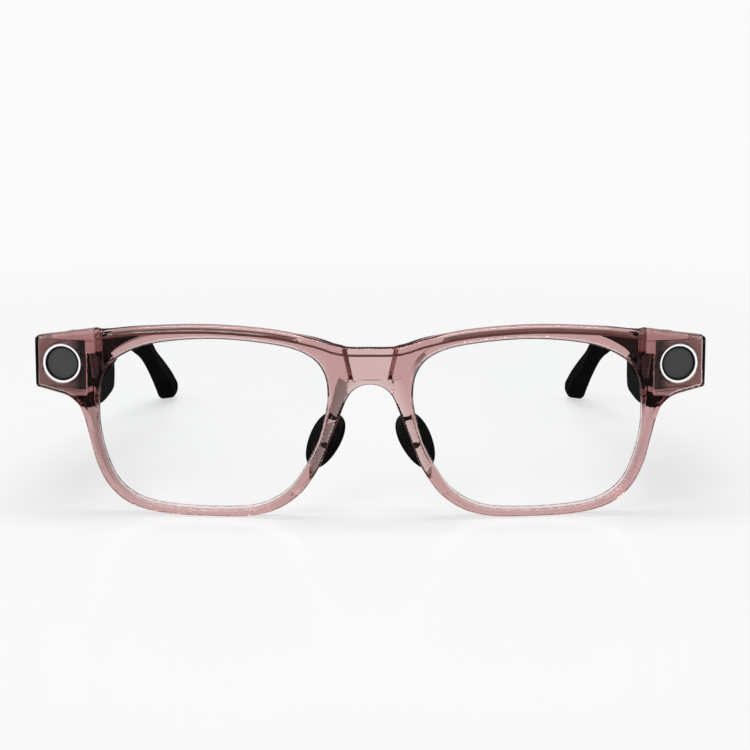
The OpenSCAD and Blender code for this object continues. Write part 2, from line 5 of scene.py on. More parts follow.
import bmesh
import bpy
import mathutils
import numpy as np
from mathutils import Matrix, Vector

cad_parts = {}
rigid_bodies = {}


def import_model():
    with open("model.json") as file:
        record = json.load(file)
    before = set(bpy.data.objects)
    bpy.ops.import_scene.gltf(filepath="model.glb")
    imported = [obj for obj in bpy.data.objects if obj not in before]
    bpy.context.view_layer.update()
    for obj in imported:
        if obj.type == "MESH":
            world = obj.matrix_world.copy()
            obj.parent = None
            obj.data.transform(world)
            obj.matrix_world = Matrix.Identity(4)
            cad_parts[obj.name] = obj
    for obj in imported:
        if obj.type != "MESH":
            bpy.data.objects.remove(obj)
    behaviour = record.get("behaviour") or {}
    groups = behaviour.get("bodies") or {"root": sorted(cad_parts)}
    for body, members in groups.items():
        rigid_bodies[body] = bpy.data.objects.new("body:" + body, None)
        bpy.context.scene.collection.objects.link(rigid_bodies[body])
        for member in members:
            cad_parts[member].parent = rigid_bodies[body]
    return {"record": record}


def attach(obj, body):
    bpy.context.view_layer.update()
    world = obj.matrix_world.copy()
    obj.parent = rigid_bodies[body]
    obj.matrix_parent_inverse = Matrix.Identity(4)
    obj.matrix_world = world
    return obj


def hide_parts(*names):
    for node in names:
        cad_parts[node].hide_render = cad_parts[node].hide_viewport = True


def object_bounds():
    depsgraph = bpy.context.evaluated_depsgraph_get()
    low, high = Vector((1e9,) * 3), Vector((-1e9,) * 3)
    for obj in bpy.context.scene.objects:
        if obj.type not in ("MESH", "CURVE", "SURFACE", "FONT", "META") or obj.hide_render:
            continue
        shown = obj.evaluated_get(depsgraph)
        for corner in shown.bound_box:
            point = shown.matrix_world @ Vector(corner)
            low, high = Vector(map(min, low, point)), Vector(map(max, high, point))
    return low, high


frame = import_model()
cad_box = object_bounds()

# Sizes are in millimetres, in the design's own axes: the brow's foremost point is at y = 0.
MM = 0.001
SIDES = (("left", 1.0), ("right", -1.0))
FRONT_Y = cad_box[0][1] / MM          # where the row's frame has the brow's foremost point
HALF_WIDTH = 74.2
WRAP_RADIUS = 350.0
RIM_DEPTH = 4.6
BLOCK_BACK = 17.6
BLOCK_INNER = HALF_WIDTH - 12.0
BLOCK_LOW = 25.4
POCKET_WALL = 0.35
WALL = 1.2
LENS_DEPTH = (1.3, 3.2)
LENS_BITE = 0.6                       # how far the lens reaches into its groove
LENS_GAP = 0.05
SIDE_X = HALF_WIDTH - 0.15
TAB_LOW = 36.0
TAB_INNER, TAB_SLOPE, TAB_Y = 60.7, 0.12, 6.0
FACE_TOP, FACE_LOW = 39.0, 28.8
CAMERA_X, CAMERA_Z = HALF_WIDTH - 5.8, 33.9
RING_RADIUS, RING_WIDTH = 4.36, 0.46
HINGE = (HALF_WIDTH - 9.6, 18.2)
HINGE_Z = 33.9
TEMPLE_FRONT, SHELL_END, TIP_END = 18.0, 104.0, 143.6
BUTTON_X, BUTTON_Y = (HALF_WIDTH - 6.6, HALF_WIDTH - 3.6), (25.0, 33.0)
FLANGE, FLANGE_Z = 0.5, (34.1, 34.9)
PAD_PLACE, PAD_LEAN, PAD_YAW = (10.2, 9.9, 15.8), -27, 25
MOST_TRIANGLES = 190000
WHITE, DARK_SIDE, FLOOR_GLOW = 0.955, 0.06, 0.68
EYE = (1.03, -500.0, 123.54)          # the camera, from the brow's foremost point
EYE_PITCH, EYE_LENS = 10.32, 111.39
TINT, TINT_DENSITY = (0.525, 0.065, 0.04, 1), 240

HALF_OUTLINE = (
    (0, 38.3), (6.5, 38.5), (12, 40.2), (22, 42.2), (36, 43.1), (50, 42.5), (58, 41.6), (66, 40.4),
    (70, 39.85), (74, 39.35), (77.5, 38.9), (78.5, 38), (78.5, 30.5), (77.5, 29.6), (74, 28.8),
    (70.2, 27.9), (66.6, 26.8), (64.7, 24.5), (63.6, 21), (62.5, 16.8), (61.2, 11.8), (58.8, 6.8), (55, 3.1),
    (50, 1.1), (43.5, 0.2), (37, 0), (29, 0), (24, 0.7), (20, 2.1), (16, 4.9), (13, 8.8),
    (11, 12.2), (9.2, 16.8), (6.4, 24), (4.8, 27.8), (2.6, 29.8), (0, 30.3))
OPENING = (
    (9.4, 28.5), (10.2, 32.8), (13.2, 36.4), (20, 38.8), (34, 40.1), (47, 39), (54.5, 36.3),
    (58.8, 32.4), (60.2, 26.5), (60.2, 19.5), (58.7, 12.8), (56, 7.2), (51, 3.6), (44, 2.2),
    (34, 1.8), (25, 2.5), (18.6, 5.8), (14.6, 11), (11.4, 17.5), (9.8, 24))
TOP_EDGE = (
    (18, 40.0), (50, 34.85), (90, 28.4), (104, 26.1), (110, 24.8), (116, 22.7), (122, 19.6),
    (128, 15.9), (134, 12.0), (139, 8.6), (142.4, 5.6), (143.6, 4.0))
LOW_EDGE = (
    (18, 26.5), (22, 23.4), (30, 20.2), (40, 18.3), (46, 17.7), (52, 18.6), (60, 21.4), (68, 23.5),
    (78, 24.2), (90, 23.5), (104, 20.6), (110, 18.0), (116, 14.8), (122, 11.0), (128, 7.0),
    (134, 3.0), (138, 0.8), (141, 0.6), (142.4, 1.2), (143.6, 2.6))
OUTER_EDGE = (
    (18, -0.8), (34, -0.7), (50, -0.1), (66, 1.5), (82, 4.2), (96, 7.0), (106, 9.6), (116, 11.5),
    (126, 12.6), (134, 13.5), (141, 14.6), (143.6, 15.8))
INNER_EDGE = (
    (18, 7.2), (20, 9.9), (24, 12.6), (30, 13.9), (40, 13.6), (50, 12.5), (60, 11.2), (70, 10.7),
    (80, 11.2), (90, 12.0), (104, 13.9), (116, 15.3), (126, 16.5), (134, 18.3), (141, 19.3),
    (143.6, 20.0))
TIP_LEAN = (
    (104, 0), (107, 3), (112, 14), (118, 15.5), (126, 18), (134, 15.5), (140, 5.6), (143.6, 1.3))


# ---------- curves and distance fields ----------

def smooth_loop(points, step=0.2, blur=0.9):
    """An even, closed, smooth path through rounded corners."""
    p = np.array(points, float)
    n = len(p)
    t = np.linspace(0, 1, 24, endpoint=False)[:, None]
    rows = []
    for i in range(n):
        a, b, c, d = (p[(i + k) % n] for k in (-1, 0, 1, 2))
        rows.append(0.5 * (2 * b + (c - a) * t + (2 * a - 5 * b + 4 * c - d) * t ** 2
                           + (3 * b - a - 3 * c + d) * t ** 3))
    path = np.concatenate(rows)
    closed = np.vstack([path, path[:1]])
    along = np.concatenate([[0], np.cumsum(np.linalg.norm(np.diff(closed, axis=0), axis=1))])
    count = int(along[-1] / step)
    where = np.linspace(0, along[-1], count, endpoint=False)
    even = np.stack([np.interp(where, along, closed[:, k]) for k in (0, 1)], 1)
    for _ in range(int(2 * (blur / step) ** 2)):
        even = (np.roll(even, 1, 0) + 2 * even + np.roll(even, -1, 0)) / 4
    return even


def loop_distance(path, q):
    """Signed distance of the points q from a closed path, negative inside."""
    a, b = path, np.roll(path, -1, 0)
    e = b - a
    out = np.empty(len(q))
    for s in range(0, len(q), 4000):
        w = q[s:s + 4000, None, :] - a[None]
        t = np.clip((w * e).sum(2) / (e * e).sum(1), 0, 1)
        d = np.sqrt(((w - e * t[..., None]) ** 2).sum(2).min(1))
        y = q[s:s + 4000, None, 1]
        crosses = (a[:, 1] <= y) != (b[:, 1] <= y)
        rise = np.where(e[:, 1] == 0, 1e-12, e[:, 1])
        x = a[:, 0] + (y - a[:, 1]) / rise * e[:, 0]
        inside = (crosses & (q[s:s + 4000, None, 0] < x)).sum(1) % 2 == 1
        out[s:s + 4000] = np.where(inside, -d, d)
    return out


class PlaneField:
    """A 2-D distance field kept on a grid and read back with smooth interpolation."""

    def __init__(self, path, low, high, cell=0.25):
        self.low, self.cell = np.array(low, float), cell
        self.shape = tuple(int(math.ceil((h - l) / cell)) + 1 for l, h in zip(low, high))
        gx, gz = np.meshgrid(*(low[k] + cell * np.arange(self.shape[k]) for k in (0, 1)), indexing="ij")
        self.value = loop_distance(path, np.stack([gx.ravel(), gz.ravel()], 1)).reshape(self.shape)

    def __call__(self, x, z):
        u = (np.stack([x, z]) - self.low[:, None]) / self.cell
        u = np.clip(u, 1.001, np.array(self.shape)[:, None] - 3.001)
        i = u.astype(int)
        f = u - i
        wx, wz = (self._weights(f[k]) for k in (0, 1))
        total = np.zeros(len(x))
        for a in range(4):
            row = np.zeros(len(x))
            for b in range(4):
                row += wz[b] * self.value[i[0] + a - 1, i[1] + b - 1]
            total += wx[a] * row
        return total

    @staticmethod
    def _weights(t):
        # cubic B-spline: it also smooths the field a little
        return ((1 - t) ** 3 / 6, (3 * t ** 3 - 6 * t ** 2 + 4) / 6,
                (-3 * t ** 3 + 3 * t ** 2 + 3 * t + 1) / 6, t ** 3 / 6)


def edge_curve(points):
    """A smooth function through (y, value) points, with the same slopes as the CAD's."""
    p = np.array(points, float)
    before, after = np.vstack([p[:1], p[:-1]]), np.vstack([p[1:], p[-1:]])
    slope = (after - before)[:, 1] / (after - before)[:, 0]

    def value(y):
        i = np.clip(np.searchsorted(p[:, 0], y, side="right") - 1, 0, len(p) - 2)
        h = p[i + 1, 0] - p[i, 0]
        t = np.clip((y - p[i, 0]) / h, 0, 1)
        return ((2 * t ** 3 - 3 * t ** 2 + 1) * p[i, 1] + (t ** 3 - 2 * t ** 2 + t) * h * slope[i]
                + (3 * t ** 2 - 2 * t ** 3) * p[i + 1, 1] + (t ** 3 - t ** 2) * h * slope[i + 1])
    return value


def meet(a, b, r):
    """Intersection of two fields, its edge rounded to radius r."""
    return np.minimum(np.maximum(a, b), -r) + np.hypot(np.maximum(a + r, 0), np.maximum(b + r, 0))


def join(a, b, r):
    """Union of two fields, with a fillet of radius r."""
    return -meet(-a, -b, r)


def cut(a, b, r):
    """Field a without field b, the new edges rounded to radius r."""
    return meet(a, -b, r)


def box_field(p, low, high, r=0.0):
    """A box with rounded edges, in x, y and z."""
    mid = (np.array(low, float) + np.array(high, float)) / 2
    half = (np.array(high, float) - np.array(low, float)) / 2 - r
    q = np.abs(p - mid) - half
    return np.linalg.norm(np.maximum(q, 0), axis=1) + np.minimum(q.max(1), 0) - r


# ---------- meshes ----------

def in_parts(field, points, size=400000):
    return np.concatenate([field(points[i:i + size]) for i in range(0, len(points), size)])


def gradient(field, points, h=0.02):
    """The field's slope and its value at the points."""
    f = in_parts(field, points)
    return np.stack([(in_parts(field, points + h * e) - f) / h for e in np.eye(3)], 1), f


def surface(field, low, high, cell):
    """Quads on the zero surface of a field, by dual contouring, so sharp edges stay sharp."""
    low = np.array(low, float)
    coarse = 3
    m = np.ceil((np.array(high, float) - low) / (cell * coarse)).astype(int)
    n = m * coarse + 1
    centre = np.stack(np.meshgrid(*((np.arange(k) + 0.5) * cell * coarse for k in m), indexing="ij"), -1)
    rough = field(low + centre.reshape(-1, 3)).reshape(tuple(m))
    value = np.pad(rough, 1, mode="edge").repeat(coarse, 0).repeat(coarse, 1).repeat(coarse, 2)
    value = value[tuple(slice(coarse, coarse + k) for k in n)].copy()
    near = np.zeros(tuple(n), bool)
    # only the nodes of the coarse cells that the surface may cross are worked out
    cells = np.argwhere(np.abs(rough) < cell * coarse * 1.2)
    for a in range(coarse + 1):
        for b in range(coarse + 1):
            for c in range(coarse + 1):
                near[tuple((cells * coarse + (a, b, c)).T)] = True
    nodes = np.argwhere(near)
    value[near] = in_parts(field, low + cell * nodes)
    inside = value < 0
    corner = [(a, b, c) for a in (0, 1) for b in (0, 1) for c in (0, 1)]

    def at(array, c):
        return array[c[0]:n[0] - 1 + c[0], c[1]:n[1] - 1 + c[1], c[2]:n[2] - 1 + c[2]]
    count = sum(at(inside, c).astype(int) for c in corner)
    active = np.argwhere((count > 0) & (count < 8))
    index = -np.ones(tuple(n - 1), int)
    index[tuple(active.T)] = np.arange(len(active))
    # every crossing of the surface gives its cells a point and a plane to lie near to
    sums = np.zeros((len(active), 13))
    faces = []
    step = np.eye(3, dtype=int)
    for axis in range(3):
        u, v = (axis + 1) % 3, (axis + 2) % 3
        near = inside[tuple(slice(0, n[k] - 1) for k in range(3))]
        far = inside[tuple(slice(step[axis][k], n[k] - 1 + step[axis][k]) for k in range(3))]
        edge = np.argwhere(near != far)
        edge = edge[(edge[:, u] > 0) & (edge[:, v] > 0)]
        va, vb = value[tuple(edge.T)], value[tuple((edge + step[axis]).T)]
        p = low + cell * (edge + (va / (va - vb))[:, None] * step[axis])
        g, f = gradient(field, p)
        slope = np.where(np.abs(g[:, axis]) < 0.05, np.inf, g[:, axis])
        p[:, axis] -= np.clip(f / slope, -0.3 * cell, 0.3 * cell)
        g /= np.maximum(np.linalg.norm(g, axis=1), 1e-6)[:, None]
        q = (p - low) / cell
        weights = np.column_stack([g * g, g[:, :1] * g[:, 1:], g[:, 1] * g[:, 2],
                                   g * (g * q).sum(1)[:, None], q, np.ones(len(q))])
        quad = np.stack([index[tuple((edge - du * step[u] - dv * step[v]).T)]
                         for du, dv in ((1, 1), (0, 1), (0, 0), (1, 0))], 1)
        for owner in quad.T:
            for k in range(13):
                sums[:, k] += np.bincount(owner, weights[:, k], len(active))
        flip = ~near[tuple(edge.T)]
        quad[flip] = quad[flip][:, ::-1]
        faces.append(quad)
    faces = np.concatenate(faces)
    sums /= np.maximum(sums[:, 12:], 1)
    planes = sums[:, [0, 3, 4, 3, 1, 5, 4, 5, 2]].reshape(-1, 3, 3)
    middle = sums[:, 9:12]
    rest = sums[:, 6:9] - np.einsum("nij,nj->ni", planes, middle)
    move = np.linalg.solve(planes + 0.02 * np.eye(3), rest[:, :, None])[:, :, 0]
    verts = low + cell * np.clip(middle + move, active - 0.05, active + 1.05)
    g, f = gradient(field, verts)
    size = np.maximum((g * g).sum(1), 0.05)
    return verts + np.clip(-(f / size)[:, None] * g, -0.3 * cell, 0.3 * cell), faces


def add_mesh(name, verts, faces, side=1.0):
    """Makes an object from millimetres in the design's axes; side -1 mirrors it."""
    v = np.array(verts, float)
    v[:, 0] *= side
    v[:, 1] += FRONT_Y
    faces = [tuple(f) for f in faces]
    if side < 0:
        faces = [f[::-1] for f in faces]
    mesh = bpy.data.meshes.new(name)
    mesh.from_pydata((v * MM).tolist(), [], faces)
    mesh.validate()
    mesh.shade_smooth()
    mesh.update()
    obj = bpy.data.objects.new(name, mesh)
    bpy.context.scene.collection.objects.link(obj)
    return obj


def add_surface(name, field, low, high, cell, side=1.0):
    """A field's surface as an object, thinned where it is flat, with the field's own normals."""
    verts, faces = surface(field, low, high, cell)
    obj = add_mesh(name, verts, faces, side)
    if 2 * len(faces) > MOST_TRIANGLES:
        thin = obj.modifiers.new("thin", "DECIMATE")
        thin.ratio = MOST_TRIANGLES / (2 * len(faces))
        graph = bpy.context.evaluated_depsgraph_get()
        obj.data = bpy.data.meshes.new_from_object(obj.evaluated_get(graph))
        obj.modifiers.clear()
    set_normals(obj.data, field, side)
    print(name, len(obj.data.polygons), "faces")
    return obj


def set_normals(mesh, field, side):
    """Gives each face's corners the field's own normals, taken just inside the face."""
    def read(source, key, width=1, kind=float):
        out = np.empty(len(source) * width, kind)
        source.foreach_get(key, out)
        return out.reshape(-1, width) if width > 1 else out
    scale = np.array([side, 1, 1])
    v = (read(mesh.vertices, "co", 3) / MM - (0, FRONT_Y, 0)) * scale
    owner = read(mesh.loops, "vertex_index", 1, int)
    sizes = read(mesh.polygons, "loop_total", 1, int)
    middle = (read(mesh.polygons, "center", 3) / MM - (0, FRONT_Y, 0)) * scale
    corner = v[owner] * 0.65 + np.repeat(middle, sizes, axis=0) * 0.35
    g, _ = gradient(field, corner)
    g /= np.maximum(np.linalg.norm(g, axis=1), 1e-6)[:, None]
    # the corners that meet at a point share one normal unless there is an edge between them
    order = np.argsort(owner, kind="stable")
    owner, g = owner[order], g[order]
    total = g.copy()
    for shift in range(1, 8):
        same = owner[shift:] == owner[:-shift]
        same &= (g[shift:] * g[:-shift]).sum(1) > 0.85
        total[shift:][same] += g[:-shift][same]
        total[:-shift][same] += g[shift:][same]
    total /= np.maximum(np.linalg.norm(total, axis=1), 1e-6)[:, None]
    normals = np.empty_like(total)
    normals[order] = total * scale
    mesh.shade_smooth()
    mesh.normals_split_custom_set(normals.tolist())


def bands(rows, n):
    """Quads between the rings of n points that follow each other in a list of points."""
    return [(k * n + i, k * n + (i + 1) % n, (k + 1) * n + (i + 1) % n, (k + 1) * n + i)
            for k in range(rows) for i in range(n)]


def place(obj, body, slot, material, *nodes):
    """Gives a piece its body and its material, and hides the nodes it stands for; the slot argument is not
    used.
    """
    obj.data.materials.clear()
    obj.data.materials.append(material)
    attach(obj, body)
    if nodes:
        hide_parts(*nodes)
    return obj


# ---------- the front ----------

def mirrored_outline():
    right = list(HALF_OUTLINE)
    left = [(-x, z) for x, z in right[-2:0:-1]]
    return smooth_loop(right + left)


outline_field = PlaneField(mirrored_outline(), (-4, -4), (80, 48))
opening_field = PlaneField(smooth_loop(OPENING), (-4, -4), (80, 48))


def wrap_depth(x):
    """How far the front's curve has gone back at x."""
    return WRAP_RADIUS - np.sqrt(WRAP_RADIUS ** 2 - x ** 2)


def depth_behind_front(p):
    return p[:, 1] - wrap_depth(p[:, 0])


CAMERA_Y = wrap_depth(CAMERA_X)
CAMERA_TURN = math.asin(CAMERA_X / WRAP_RADIUS)
CAMERA_IN = np.array([-math.sin(CAMERA_TURN), math.cos(CAMERA_TURN), 0])


def camera_polar(p):
    """Depth behind the window's plane and distance from the camera's axis."""
    q = p - np.array([CAMERA_X, CAMERA_Y, CAMERA_Z])
    depth = q @ CAMERA_IN
    return depth, np.linalg.norm(q - depth[:, None] * CAMERA_IN, axis=1)


def hinge_hole(p, radius, half_height):
    """The round room for the knuckles, about the hinge's pin."""
    away = np.hypot(p[:, 0] - HINGE[0], p[:, 1] - HINGE[1])
    return np.maximum(away - radius, np.abs(p[:, 2] - HINGE_Z) - half_height)


def block_outline(p):
    """The corner block's outline; its top falls a little towards the back and the outside."""
    x, y, z = p.T
    fall = 0.07 + 0.07 * np.clip((x - 70) / 4, 0, 1) ** 2
    drop = fall * np.maximum(y - 8, 0) * np.clip((z - 32) / 4, 0, 1)
    return meet(outline_field(x, z + drop), x - SIDE_X, 0.25)


def corner_pocket(p, gap=0.0):
    """The space inside the corner block; with a gap, the housing that fills it."""
    x, y, z = p.T
    inner = np.where(z > TAB_LOW, TAB_INNER + TAB_SLOPE * (y - TAB_Y), BLOCK_INNER + 0.6)
    wall = np.where(z > 32, POCKET_WALL, 0.15)
    pocket = meet(block_outline(p) + wall + gap, x - SIDE_X + POCKET_WALL + gap, 0.2)
    pocket = meet(pocket, inner + gap - x, 0.25)
    pocket = meet(pocket, BLOCK_LOW + WALL + gap - z, 0.3)
    return meet(pocket, 1.35 + gap - depth_behind_front(p), 0.3)


def front_field(q):
    p = q.copy()
    p[:, 0] = np.abs(p[:, 0])
    x, y, z = p.T
    t = depth_behind_front(p)
    outline, opening = meet(outline_field(x, z), x - SIDE_X, 0.25), opening_field(x, z)
    rim = meet(outline, -t, 0.35)
    rim = meet(rim, t - RIM_DEPTH, 0.6)
    # bevels along the rim's outer edges, which fade out at the flat corner and at the nose
    away = np.clip(np.maximum(61 - x, BLOCK_LOW - z) / 4, 0, 1) * np.clip((x - 12) / 5, 0, 1)
    rim = meet(rim, (outline - t + 1.1 * away) / 1.414, 0.3)
    rim = meet(rim, (outline + t - RIM_DEPTH + 1.5 * away) / 1.414, 0.3)
    # the nose side's back slants towards the nose, less in its upper part
    inset = 0.93 * (x - 4.8 - 0.4 * (27.8 - z))
    nose = np.where(z > 22.6, 2.3 + 0.7 * inset, 2.3 + 0.85 * inset)
    beyond = np.maximum(np.maximum(5 - x, x - 13.5), np.maximum(z - 31 - 0.5 * (x - 6.2), 8 - z))
    rim = meet(rim, np.minimum((t - nose) / 1.25, -beyond), 0.05)
    arch = np.maximum(x - 5, z - 31)
    rim = meet(rim, np.minimum((t - 2.2 + 0.7 * outline) / 1.25, -arch), 0.05)
    wide = x > 54
    block = np.full(len(x), 50.0)
    w = p[wide]
    corner = meet(block_outline(w), -t[wide], 0.35)
    wall = np.maximum(TAB_INNER - 0.3 + TAB_SLOPE * (w[:, 1] - TAB_Y),
                      BLOCK_INNER + 0.5 * (w[:, 1] - BLOCK_BACK))
    corner = meet(corner, wall - w[:, 0], 0.25)
    corner = meet(corner, BLOCK_LOW - w[:, 2], 1.2)
    block[wide] = meet(corner, w[:, 1] - BLOCK_BACK, 0.4)
    body = join(rim, block, 1.6)
    body = cut(body, opening, 0.2)
    body = meet(body, (-opening - t + 0.4) / 1.414, 0.1)
    body = meet(body, (-0.42 * opening + t - RIM_DEPTH + 0.7) / 1.085, 0.1)
    # the bridge is thinner than the rims: its back is cut away between two slanted walls
    notch = meet((x - (3.5 + 0.22 * (z - 30.3)) - 0.8 * (t - 3.1)) / 1.3, 3.1 - t, 0.15)
    body = cut(body, notch, 0.3)
    front, back = LENS_DEPTH
    groove = np.maximum(opening - LENS_BITE - LENS_GAP,
                        np.abs(t - (front + back) / 2) - (back - front) / 2 - LENS_GAP)
    body = cut(body, groove, 0.05)
    depth, radius = camera_polar(w)
    holes = np.minimum(corner_pocket(w), np.maximum(radius - RING_RADIUS - 0.05, depth - 3))
    body[wide] = cut(body[wide], np.minimum(holes, hinge_hole(w, 2.15, 4.8)), 0.15)
    return body


def make_front(material):
    obj = add_surface("front_frame_body", front_field, (-76, -1.2, -1.2), (76, 18.9, 44.4), 0.31)
    place(obj, "front", "tinted_front", material, "front_frame")


def make_lens(name, side, material):
    ring = smooth_loop(OPENING, step=0.9)
    step = np.roll(ring, -1, 0) - np.roll(ring, 1, 0)
    normal = np.stack([-step[:, 1], step[:, 0]], 1)
    normal /= np.linalg.norm(normal, axis=1)[:, None]
    centre = ring.mean(0)
    shares = (0.25, 0.5, 0.7, 0.85, 0.94, 1.0)
    bevel = 0.25
    front, back = LENS_DEPTH
    edge = ring + normal * LENS_BITE
    lip = ring + normal * (LENS_BITE - bevel)
    rows = [(centre + (lip - centre) * s, front) for s in shares]
    rows += [(edge, front + bevel), (edge, back - bevel)]
    rows += [(centre + (lip - centre) * s, back) for s in reversed(shares)]
    verts = [(x, wrap_depth(x) + t, z) for points, t in rows for x, z in points]
    n = len(ring)
    faces = bands(len(rows) - 1, n)
    faces.append(tuple(range(n))[::-1])
    faces.append(tuple((len(rows) - 1) * n + i for i in range(n)))
    obj = add_mesh(name, verts, faces, side)
    clean(obj, 30)
    place(obj, "front", "lens", material, name)


def clean(obj, crisp=None):
    """Joins doubled points and turns the faces outwards; edges sharper than crisp stay so."""
    bm = bmesh.new()
    bm.from_mesh(obj.data)
    bmesh.ops.remove_doubles(bm, verts=bm.verts, dist=1e-6)
    bmesh.ops.recalc_face_normals(bm, faces=bm.faces)
    bm.to_mesh(obj.data)
    bm.free()
    obj.data.shade_smooth()
    if crisp:
        obj.data.set_sharp_from_angle(angle=math.radians(crisp))


def lathe(name, profile, side, segments=128):
    """Turns (radius, depth) points about the camera's axis; a radius of 0 closes on it."""
    across = np.array([math.cos(CAMERA_TURN), math.sin(CAMERA_TURN), 0])
    centre = np.array([CAMERA_X, CAMERA_Y, CAMERA_Z])
    verts, faces, rows = [], [], []
    for r, d in profile:
        base = centre + d * CAMERA_IN
        if r == 0:
            rows.append([len(verts)] * segments)
            verts.append(base)
            continue
        rows.append(list(range(len(verts), len(verts) + segments)))
        for k in range(segments):
            a = 2 * math.pi * k / segments
            verts.append(base + r * (math.cos(a) * across + math.sin(a) * np.array([0, 0, 1])))
    if profile[0][0] > 0:
        rows.append(rows[0])
    for a, b in zip(rows, rows[1:]):
        for k in range(segments):
            j = (k + 1) % segments
            face = [a[k], a[j], b[j], b[k]]
            face = [v for i, v in enumerate(face) if v not in face[:i]]
            faces.append(tuple(face))
    obj = add_mesh(name, verts, faces, side)
    clean(obj, 40)
    return obj


def arc(centre, radius, start, end, steps=5):
    """Points on an arc in a lathe profile, angles in degrees."""
    angles = np.radians(np.linspace(start, end, steps))
    return [(centre[0] + radius * math.cos(a), centre[1] + radius * math.sin(a)) for a in angles]


def make_windows(name, side, mats):
    r_out, r_in = RING_RADIUS, RING_RADIUS - RING_WIDTH
    ring = (arc((r_in + 0.12, 0.06), 0.12, 180, 270) + arc((r_out - 0.12, 0.06), 0.12, 270, 360)
            + [(r_out, 1.2), (r_in, 1.2)])
    place(lathe(f"light_ring_{name}", ring, side), "front", "ring_white", mats["ring"],
          f"light_ring_{name}")
    lip = r_in - 0.02
    bezel = (arc((lip - 0.1, 0.15), 0.1, 360, 270) + arc((lip - 0.28, 0.15), 0.1, 270, 180)
             + [(lip - 0.38, 1.2), (lip - 0.9, 1.2), (lip - 0.9, 2.3), (lip, 2.3)])
    place(lathe(f"window_bezel_{name}", bezel, side), "front", "gloss_black", mats["gloss_black"],
          f"window_bezel_{name}")
    r = r_in - 0.42
    window = ([(0, 0.5)] + [(r * f, 0.5) for f in (0.35, 0.7, 0.93)]
              + arc((r - 0.08, 0.58), 0.08, 270, 360) + [(r, 1.18), (0, 1.18)])
    place(lathe(f"camera_window_{name}", window, side), "front", "window_glass", mats["window"],
          f"camera_window_{name}")


def housing_field(p):
    body = meet(corner_pocket(p, 0.08), p[:, 1] - 13.6, 0.3)
    depth, radius = camera_polar(p)
    body = cut(body, np.maximum(radius - 3.72, depth - 2.35), 0.1)
    body = cut(body, radius - 2.56, 0.1)
    # two shallow steps round the window, and shallow lines along the face's top and bottom
    body = cut(body, np.maximum(radius - 4.75, depth - 1.9), 0.15)
    low = FACE_LOW + 0.045 * (p[:, 0] - SIDE_X)
    line = np.abs(p[:, 2] - FACE_TOP)
    for height in (low, low - 0.8):
        line = np.minimum(line, np.abs(p[:, 2] - height))
    return cut(body, np.maximum(line - 0.13, depth_behind_front(p) - 1.9), 0.05)


def make_housing(name, side, material):
    low, high = (60.4, 5.5, 26), (74.6, 14.2, 41)
    obj = add_surface(f"camera_housing_{name}", housing_field, low, high, 0.25, side)
    place(obj, "front", "housing_grey", material, f"camera_housing_{name}")


# ---------- nose pads ----------

def make_nose_pad(name, side, material):
    """A pear-shaped soft pad, domed towards the nose, on the end of its stem."""
    rows, n, verts = 28, 40, []
    lean, yaw = math.radians(PAD_LEAN), math.radians(PAD_YAW)
    for k in range(rows + 1):
        a = math.pi * k / rows
        up = -math.cos(a)
        width = 3.75 * math.sin(a) ** 0.8 * (1 + 0.12 * up)
        thick = 1.55 * math.sin(a) ** 0.6
        for i in range(n):
            b = 2 * math.pi * i / n
            u = width * math.cos(b)
            v = thick * (math.sin(b) * (0.75 if math.sin(b) < 0 else 1.0)) - 0.025 * u * u
            w = 6.75 * up
            x, y = u * math.cos(yaw) - v * math.sin(yaw), u * math.sin(yaw) + v * math.cos(yaw)
            x, z = x * math.cos(lean) + w * math.sin(lean), -x * math.sin(lean) + w * math.cos(lean)
            verts.append(tuple(a + b for a, b in zip(PAD_PLACE, (x, y, z))))
    obj = add_mesh(f"nose_pad_{name}", verts, bands(rows, n), side)
    clean(obj)
    place(obj, "front", "pad_rubber", material, f"nose_pad_{name}")


# ---------- temples ----------

top_edge, low_edge = edge_curve(TOP_EDGE), edge_curve(LOW_EDGE)
outer_in, inner_in = edge_curve(OUTER_EDGE), edge_curve(INNER_EDGE)
tip_lean = edge_curve(TIP_LEAN)


def outer_x(y):
    return HALF_WIDTH - outer_in(y)


def inner_x(y):
    return HALF_WIDTH - inner_in(y)


def parting_x(y):
    return outer_x(y) - 0.42 * (outer_x(y) - inner_x(y))


def bevel_plane(p, a, b, pitch):
    """Distance outside a long bevel through two (x, z) points at the temple's front."""
    a, b = (np.array([HALF_WIDTH + q[0], q[1]]) for q in (a, b))
    along = (b - a) / np.linalg.norm(b - a)
    normal = np.array([along[1], -along[0]])
    fall = math.tan(math.radians(pitch)) * (p[:, 1] - TEMPLE_FRONT)
    return (p[:, 0] - a[0]) * normal[0] + (p[:, 2] - fall - a[1]) * normal[1]


def slope_factor(curve, y):
    rise = (curve(y + 0.5) - curve(y - 0.5))
    return 1 / np.sqrt(1 + rise ** 2)


def temple_solid(p):
    x, y, z = p.T
    ease = np.clip((27 - y) / 9, 0, 1)
    top = (z - top_edge(y) + 0.6 * ease * ease * (3 - 2 * ease)) * slope_factor(top_edge, y)
    low = (low_edge(y) - z) * slope_factor(low_edge, y)
    outer = x - outer_x(y)
    inner = (inner_x(y) - x) * slope_factor(inner_x, y)
    sides = meet(outer, top, 1.3)
    sides = meet(sides, bevel_plane(p, (0.8, 37.4), (-6.2, 39.6), -9.15), 0.9)
    sides = meet(sides, low, 0.9)
    sides = meet(sides, bevel_plane(p, (-7.6, 22.9), (0.8, 28.4), -10.9), 0.9)
    sides = meet(sides, inner, 0.9)
    sides = meet(sides, bevel_plane(p, (-6.7, 39.6), (-13.2, 34.8), -5.5), 0.9)
    return meet(sides, bevel_plane(p, (-13.7, 30.3), (-11.1, 24.7), -10.9), 0.4)


